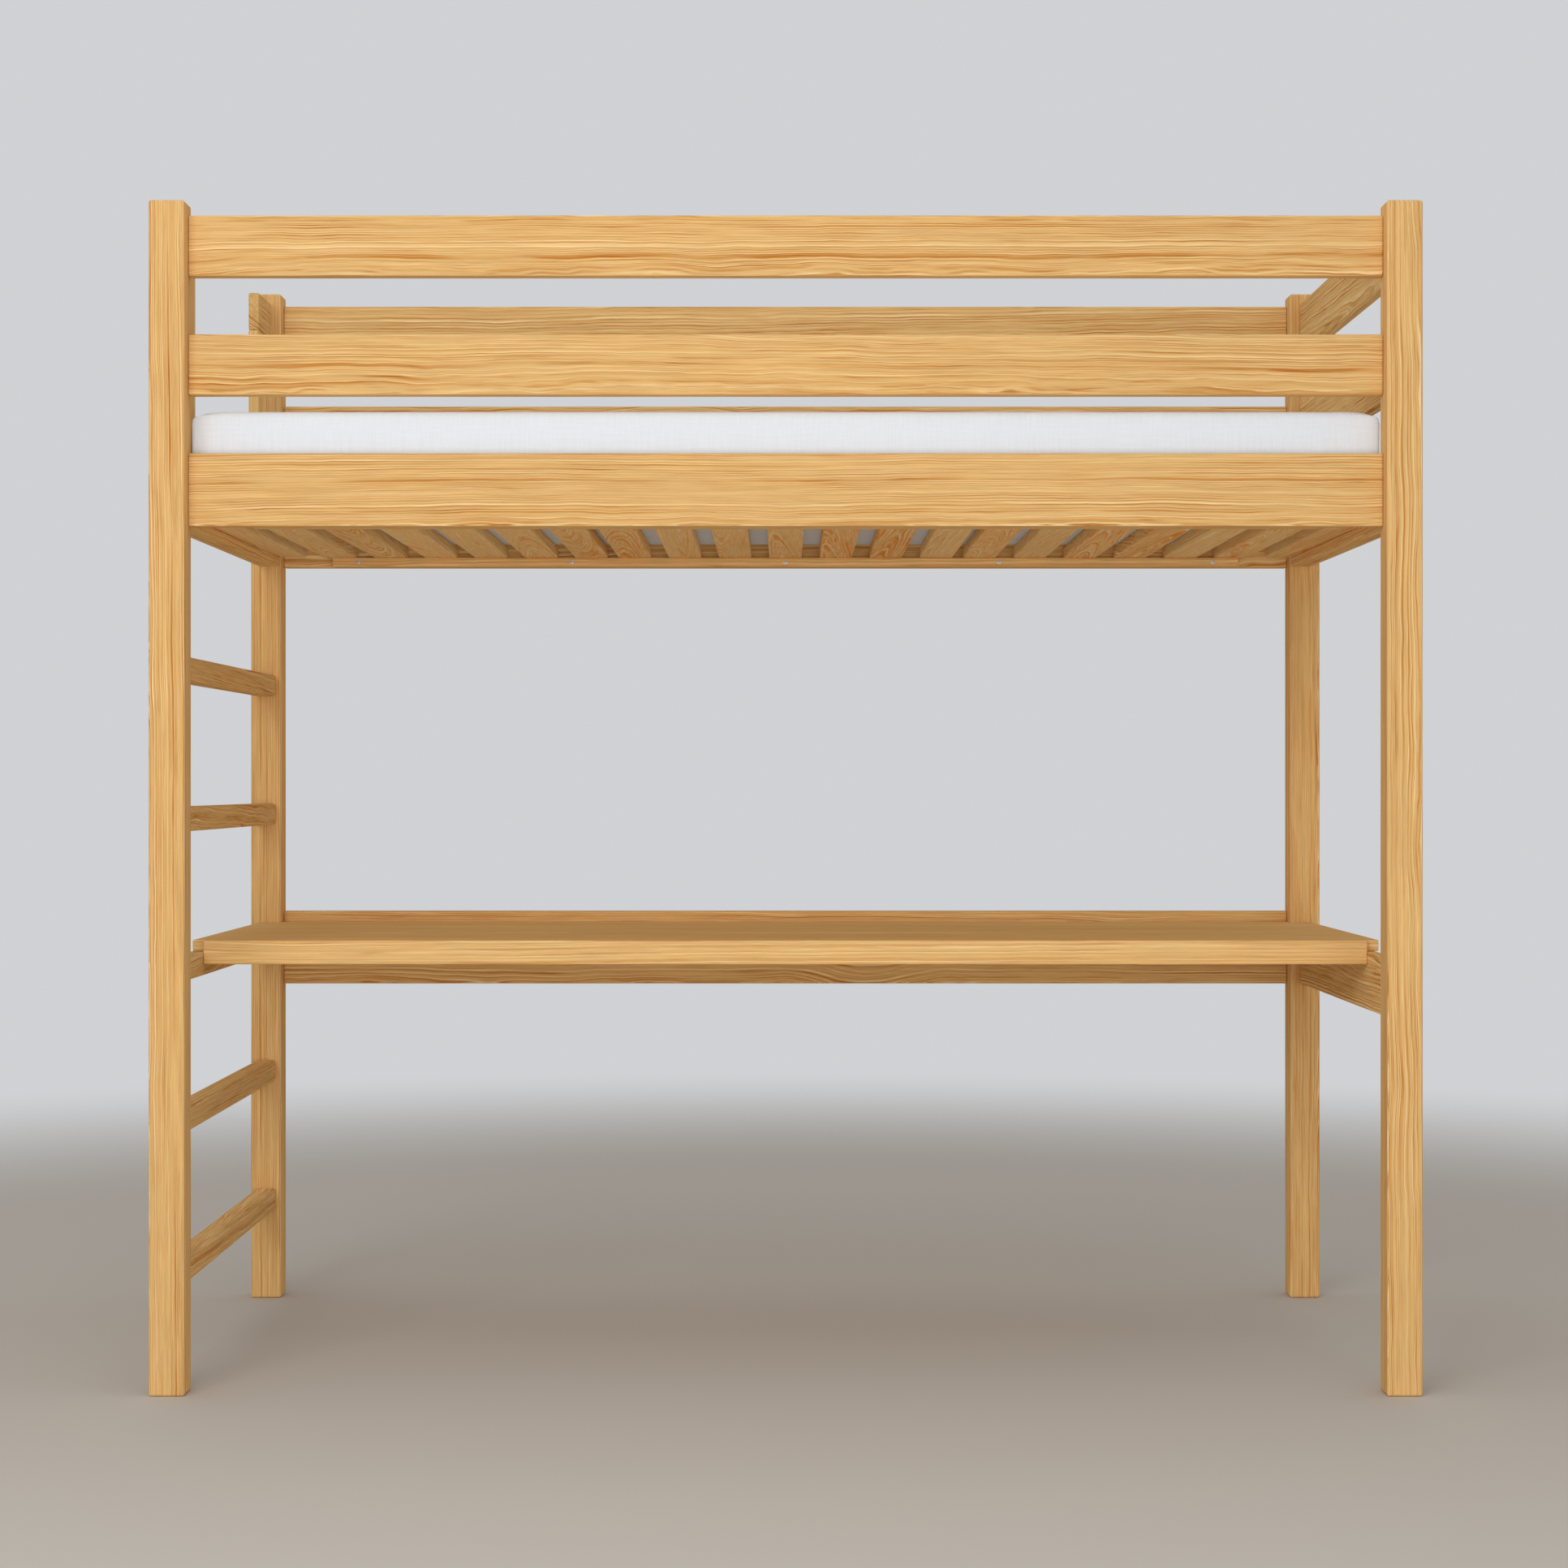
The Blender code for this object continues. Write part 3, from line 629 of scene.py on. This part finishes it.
# ---------------------------------------------------------------- mattress
WEAVE_PITCH = 0.0016
THREADS = 330.0
COVER_THIN = (0.780, 0.834, 0.894)
COVER_THICK = (0.827, 0.878, 0.938)
# Painted shade: a darker, bluer cover colour on the faces that point down, standing in for the shade under the
# mattress.
COVER_UNDER_SHADE = (0.62, 0.76, 0.97)
FLAT_FACING = 0.72


def make_cover():
    """White woven cover: two crossing sets of threads with thicker places, laid along each face's own edges."""
    material = bpy.data.materials.new("mattress_cover")
    material.use_nodes = True
    tree = material.node_tree
    shader = tree.nodes["Principled BSDF"]
    place = link_nodes(tree, "ShaderNodeTexCoord").outputs
    point = link_nodes(tree, "ShaderNodeSeparateXYZ", {0: place["Object"]}).outputs
    normal = link_nodes(tree, "ShaderNodeSeparateXYZ", {0: place["Normal"]}).outputs
    on_top = math_node(tree, "GREATER_THAN", math_node(tree, "ABSOLUTE", normal[2]), FLAT_FACING)
    on_end = math_node(tree, "GREATER_THAN", math_node(tree, "ABSOLUTE", normal[0]), FLAT_FACING)

    def either(factor, first, second):
        made = link_nodes(tree, "ShaderNodeMix", {0: factor, 2: first, 3: second}, data_type="FLOAT")
        return made.outputs[0]

    warp_place = either(on_end, point[0], point[1])
    weft_place = either(on_top, point[2], point[1])
    cloth = link_nodes(tree, "ShaderNodeCombineXYZ", {0: warp_place, 1: weft_place}).outputs[0]
    warp = stretched_noise(tree, cloth, (THREADS, 16.0, 1.0), 1.0, 2.0, 0.6).outputs["Fac"]
    weft = stretched_noise(tree, cloth, (18.0, THREADS, 1.0), 2.0, 2.0, 0.6).outputs["Fac"]
    slubs = math_node(tree, "ADD", math_node(tree, "MULTIPLY", warp, 0.62), math_node(tree, "MULTIPLY", weft, 0.38))
    threads = []
    for place_along in (warp_place, weft_place):
        turn = math_node(tree, "MULTIPLY", place_along, 2 * pi / WEAVE_PITCH)
        threads.append(math_node(tree, "SINE", turn))
    weave = math_node(tree, "MULTIPLY", *threads)
    height = math_node(tree, "MULTIPLY_ADD", weave, 0.25, math_node(tree, "MULTIPLY", slubs, 1.4))
    colour = mix_colours(tree, ramp_between(tree, slubs, 0.34, 0.66), COVER_THIN, COVER_THICK)
    # Painted shade: faces that point down are mixed towards the darker, bluer colour of the shaded underside.
    underside_shade = ramp_between(tree, normal[2], -0.55, -0.85)
    colour = mix_colours(tree, underside_shade, colour, COVER_UNDER_SHADE)
    tree.links.new(colour, shader.inputs["Base Color"])
    bump = link_nodes(tree, "ShaderNodeBump", {"Height": height, "Distance": 0.0006, "Strength": 0.45}).outputs[0]
    tree.links.new(bump, shader.inputs["Normal"])
    shader.inputs["Roughness"].default_value = 0.88
    shader.inputs["Sheen Weight"].default_value = 0.25
    shader.inputs["Sheen Roughness"].default_value = 0.5
    return material


TINY = 1e-9
MATTRESS_STEP = 0.014
EDGE_STEPS = (0.0, 0.002, 0.005, 0.009, 0.014, 0.021, 0.030)
SWELL = 0.004
START_SHRINK = (0.0, 0.002, 0.002)
TOP_EDGE_RADIUS = 0.014
CORNER_RADIUS = 0.007
END_ROUND_LENGTH = 0.064
END_ROUND_DROP = 0.018
UNDER_ROUND_DROP = 0.006
SEAM_HEIGHT = 0.046
SEAM_WIDTH = 0.004
SEAM_DEPTH = 0.0022
SWELL_FRAMES = 14
CLOTH_PRESSURE = 4.0
CLOTH_STIFFNESS = 20
CLOTH_BENDING = 1.0
CLOTH_MASS = 0.3
CLOTH_QUALITY = 4


def cuts_along(half):
    """Places to cut a side, from its middle, with finer steps near its two ends."""
    near = [half - step for step in EDGE_STEPS]
    inner = near[-1]
    count = max(2, round(2 * inner / MATTRESS_STEP))
    middle = [inner - 2 * inner * step / count for step in range(1, count)]
    return sorted({*near, *middle, *(-place for place in near)})


def cushion_mesh(half):
    """A closed box of quads, cut finely near its edges."""
    cuts = [cuts_along(size) for size in half]
    last = [len(places) - 1 for places in cuts]
    number = {}
    points = []

    def vertex(index):
        if index not in number:
            number[index] = len(points)
            points.append([cuts[axis][index[axis]] for axis in range(3)])
        return number[index]

    faces = []
    for axis in range(3):
        first, second = (axis + 1) % 3, (axis + 2) % 3
        for end in (0, last[axis]):
            for i in range(last[first]):
                for j in range(last[second]):
                    corners = []
                    for di, dj in ((0, 0), (1, 0), (1, 1), (0, 1)):
                        index = [0, 0, 0]
                        index[axis], index[first], index[second] = end, i + di, j + dj
                        corners.append(vertex(tuple(index)))
                    faces.append(corners if end else corners[::-1])
    return np.array(points), faces


def round_edge(points, half, sides):
    """Rounds the four edges between the sides across two axes, given with a radius each, to part of an ellipse."""
    reach = [np.maximum(np.abs(points[:, axis]) - (half[axis] - radius), 0) / radius for axis, radius in sides]
    in_zone = (reach[0] > 0) & (reach[1] > 0)
    length = np.hypot(*reach)
    scale = np.where(in_zone, np.maximum(*reach) / np.maximum(length, TINY), 1.0)
    for (axis, radius), size in zip(sides, reach):
        moved = np.sign(points[:, axis]) * (half[axis] - radius + radius * size * scale)
        points[:, axis] = np.where(in_zone, moved, points[:, axis])


def round_cushion(points, half):
    """Small radii on the long edges and the corners, and a longer fall of the top towards each end."""
    top = points[:, 2] > 0
    for side, drop in ((top, END_ROUND_DROP), (~top, UNDER_ROUND_DROP)):
        part = points[side]
        round_edge(part, half, ((0, END_ROUND_LENGTH), (2, drop)))
        points[side] = part
    round_edge(points, half, ((1, TOP_EDGE_RADIUS), (2, TOP_EDGE_RADIUS)))
    round_edge(points, half, ((0, CORNER_RADIUS), (1, CORNER_RADIUS)))
    return points


def read_points(mesh):
    places = np.empty(len(mesh.vertices) * 3)
    mesh.vertices.foreach_get("co", places)
    return places.reshape(-1, 3)


def swell(piece):
    """Inflates the cover with cloth, then keeps each point's move small, since foam holds its shape."""
    before = read_points(piece.data)
    cloth = piece.modifiers.new("cover", "CLOTH")
    settings = cloth.settings
    settings.quality = CLOTH_QUALITY
    settings.mass = CLOTH_MASS
    settings.tension_stiffness = settings.compression_stiffness = CLOTH_STIFFNESS
    settings.bending_stiffness = CLOTH_BENDING
    settings.use_pressure = True
    settings.uniform_pressure_force = CLOTH_PRESSURE
    settings.effector_weights.gravity = 0.0
    cloth.point_cache.frame_start = 1
    cloth.point_cache.frame_end = SWELL_FRAMES
    scene = bpy.context.scene
    for number in range(1, SWELL_FRAMES + 1):
        scene.frame_set(number)
    graph = bpy.context.evaluated_depsgraph_get()
    after = read_points(piece.evaluated_get(graph).to_mesh())
    piece.modifiers.clear()
    scene.frame_set(1)
    move = after - before
    length = np.linalg.norm(move, axis=1, keepdims=True)
    return before + move * (SWELL * (1 - np.exp(-length / SWELL)) / np.maximum(length, TINY))


def make_mattress():
    """The cushion, swollen, with its seam pressed in, kept inside the CAD box."""
    low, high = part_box("mattress")
    middle = np.array((low + high) / 2)
    half = np.array((high - low) / 2) - np.array(START_SHRINK)
    points, faces = cushion_mesh(half)
    points = round_cushion(points, half)
    mesh = bpy.data.meshes.new("mattress_cushion")
    mesh.from_pydata(points.tolist(), [], faces)
    mesh.materials.append(make_cover())
    piece = bpy.data.objects.new("mattress_cushion", mesh)
    bpy.context.scene.collection.objects.link(piece)
    points = swell(piece)
    rise = middle[2] + points[:, 2] - low.z
    on_border = np.exp(-(((rise - SEAM_HEIGHT) / SEAM_WIDTH) ** 2))
    out = np.where(half[0] - np.abs(points[:, 0]) < half[1] - np.abs(points[:, 1]), 0, 1)
    for axis in (0, 1):
        points[:, axis] -= np.sign(points[:, axis]) * np.where(out == axis, on_border * SEAM_DEPTH, 0)
    points += middle
    points = np.minimum(np.maximum(points, np.array(low)), np.array(high))
    mesh.vertices.foreach_set("co", points.ravel())
    mesh.update()
    mesh.shade_smooth()
    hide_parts("mattress")
    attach(piece, "mattress")


# ---------------------------------------------------------------- surroundings
FLOOR_SIZE = 16.0
BACKGROUND = (0.63, 0.64, 0.66)
AMBIENT = (0.50, 0.50, 0.51)
FLOOR_COLOUR = (0.58, 0.54, 0.48)
FLOOR_FADE = (2.4, 5.2)
# Area lights: name, place, target, size and watts.
LIGHTS = (
    ("key_light", (-1.6, -4.4, 2.7), (0, 0, 1.2), (2.6, 2.0), 62.0),
    ("overhead", (0.0, -0.6, 4.6), (0, 0, 0.8), (3.4, 2.4), 21.0),
    ("low_fill", (0.5, -4.6, 0.7), (0, 0.3, 0.9), (3.6, 1.3), 52.0),
)


def make_floor():
    """A pale floor that fades out with distance. It belongs to the stage, not to the object."""
    bpy.ops.mesh.primitive_plane_add(size=FLOOR_SIZE)
    floor = bpy.context.object
    floor.name = "studio_floor"
    material = bpy.data.materials.new("studio_floor")
    material.use_nodes = True
    tree = material.node_tree
    shader = tree.nodes["Principled BSDF"]
    shader.inputs["Base Color"].default_value = (*FLOOR_COLOUR, 1.0)
    shader.inputs["Roughness"].default_value = 0.9
    shader.inputs["Specular IOR Level"].default_value = 0.1
    place = link_nodes(tree, "ShaderNodeTexCoord").outputs["Object"]
    distance = link_nodes(tree, "ShaderNodeVectorMath", {0: place}, operation="LENGTH").outputs["Value"]
    tree.links.new(ramp_between(tree, distance, *FLOOR_FADE, 1.0, 0.0), shader.inputs["Alpha"])
    floor.data.materials.append(material)


def make_world():
    """A pale backdrop all round, a little dimmer as light than it looks behind the object."""
    world = bpy.data.worlds.new("studio")
    world.use_nodes = True
    tree = world.node_tree
    seen = link_nodes(tree, "ShaderNodeLightPath").outputs["Is Camera Ray"]
    tree.links.new(mix_colours(tree, seen, AMBIENT, BACKGROUND), tree.nodes["Background"].inputs["Color"])
    bpy.context.scene.world = world


def add_area_light(name, place, target, size, power):
    light = bpy.data.lights.new(name, "AREA")
    light.shape = "RECTANGLE"
    light.size, light.size_y = size
    light.energy = power
    holder = bpy.data.objects.new(name, light)
    holder.location = place
    holder.rotation_euler = (Vector(target) - Vector(place)).to_track_quat("-Z", "Y").to_euler()
    bpy.context.scene.collection.objects.link(holder)


def make_camera():
    front = cad_box[0][1]
    data = bpy.data.cameras.new("camera")
    data.lens = CAMERA_LENS
    data.sensor_width = CAMERA_SENSOR
    camera = bpy.data.objects.new("camera", data)
    camera.location = (CAMERA_SIDE, front - CAMERA_BACK, CAMERA_HEIGHT)
    camera.rotation_euler = (radians(90), 0, 0)
    bpy.context.scene.collection.objects.link(camera)
    bpy.context.scene.camera = camera


make_camera()
paint_boards()
make_mattress()
make_bolts()
make_screws()
make_floor()
make_world()
for light in LIGHTS:
    add_area_light(*light)
bpy.context.scene.view_settings.view_transform = "Standard"
